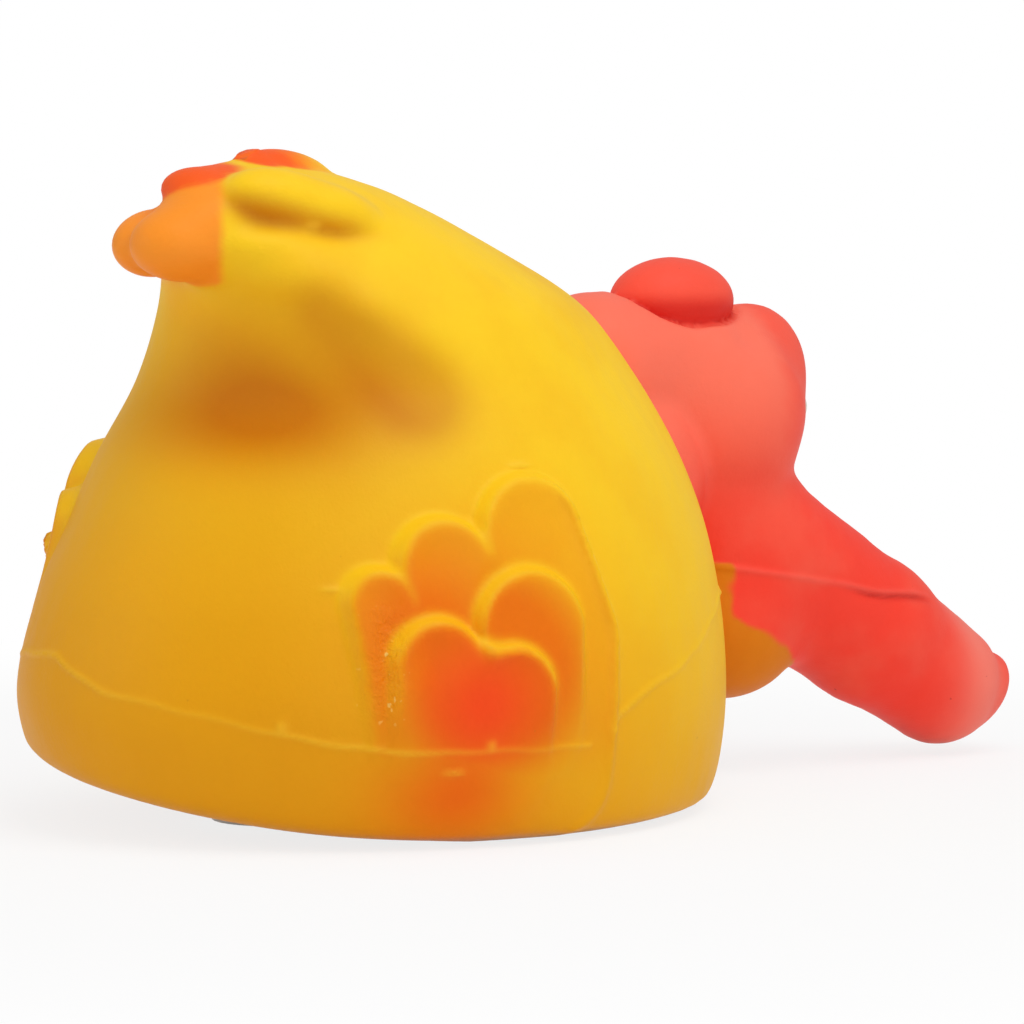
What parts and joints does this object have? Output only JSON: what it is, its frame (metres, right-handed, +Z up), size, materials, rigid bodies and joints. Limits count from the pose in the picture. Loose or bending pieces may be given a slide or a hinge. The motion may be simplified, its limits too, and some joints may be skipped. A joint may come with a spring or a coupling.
{
  "type": "rubber chicken",
  "caption": "Squat hollow latex hen with a raised feather tail, relief wings, a red comb and a long drooping beak, and a squeaker in its flat base.",
  "frame": {"origin": "A point on the flat base under the middle of the body, on the surface that the hen stands on.", "axes": "+Z is up, away from the base. +Y is forward, along the hen's length to its beak. +X is the hen's right side."},
  "size_m": [0.0957, 0.171, 0.092],
  "materials": {
    "yellow_latex": "soft satin latex, sprayed orange in the hollows",
    "orange_latex": "soft satin latex, airbrushed orange",
    "red_latex": "soft satin latex, sprayed red",
    "eye_white": "gloss paint on latex",
    "eye_black": "gloss paint on latex",
    "squeaker_plastic": "moulded polythene",
    "reed_plastic": "thin stamped film"
  },
  "bodies": {
    "trunk": {"belly_skin": "yellow_latex", "flank_skin": "yellow_latex", "wing_outer_right": "yellow_latex", "wing_middle_right": "orange_latex", "wing_inner_right": "orange_latex", "wing_outer_left": "yellow_latex", "wing_middle_left": "orange_latex", "wing_inner_left": "orange_latex", "squeaker_housing": "squeaker_plastic", "squeaker_cap": "squeaker_plastic"},
    "back": {"back_skin": "yellow_latex", "tail_ridge": "red_latex", "tail_crown_feather": "red_latex", "tail_centre_feather": "orange_latex", "tail_left_feather": "orange_latex", "tail_side_feather_right": "orange_latex", "tail_side_feather_left": "orange_latex"},
    "neck": {"neck_fold": "yellow_latex"},
    "head": {"head_skin": "red_latex", "comb_crown": "red_latex", "comb_front": "red_latex", "beak_upper": "red_latex", "beak_lower": "red_latex", "eye_right": "eye_white", "eye_left": "eye_white", "pupil_right": "eye_black", "pupil_left": "eye_black"},
    "reed": {"squeaker_reed": "reed_plastic"}
  },
  "joints": [
    {"name": "back_press", "type": "slide", "parent": "trunk", "child": "back", "axis": [0, 0, -1], "range_m": [0, 0.01], "stiffness_N_per_m": 800},
    {"name": "head_turn", "type": "hinge", "parent": "trunk", "child": "neck", "pos_m": [0, 0.04724, 0.046], "axis": [0, 0, 1], "range_deg": [-20, 20], "stiffness_Nm_per_rad": 0.2},
    {"name": "head_nod", "type": "hinge", "parent": "neck", "child": "head", "pos_m": [0, 0.04724, 0.046], "axis": [1, 0, 0], "range_deg": [0, 12], "stiffness_Nm_per_rad": 0.2},
    {"name": "reed_flex", "type": "hinge", "parent": "trunk", "child": "reed", "pos_m": [0, -0.024, 0.01145], "axis": [-1, 0, 0], "range_deg": [0, 6], "stiffness_Nm_per_rad": 0.0003}
  ]
}
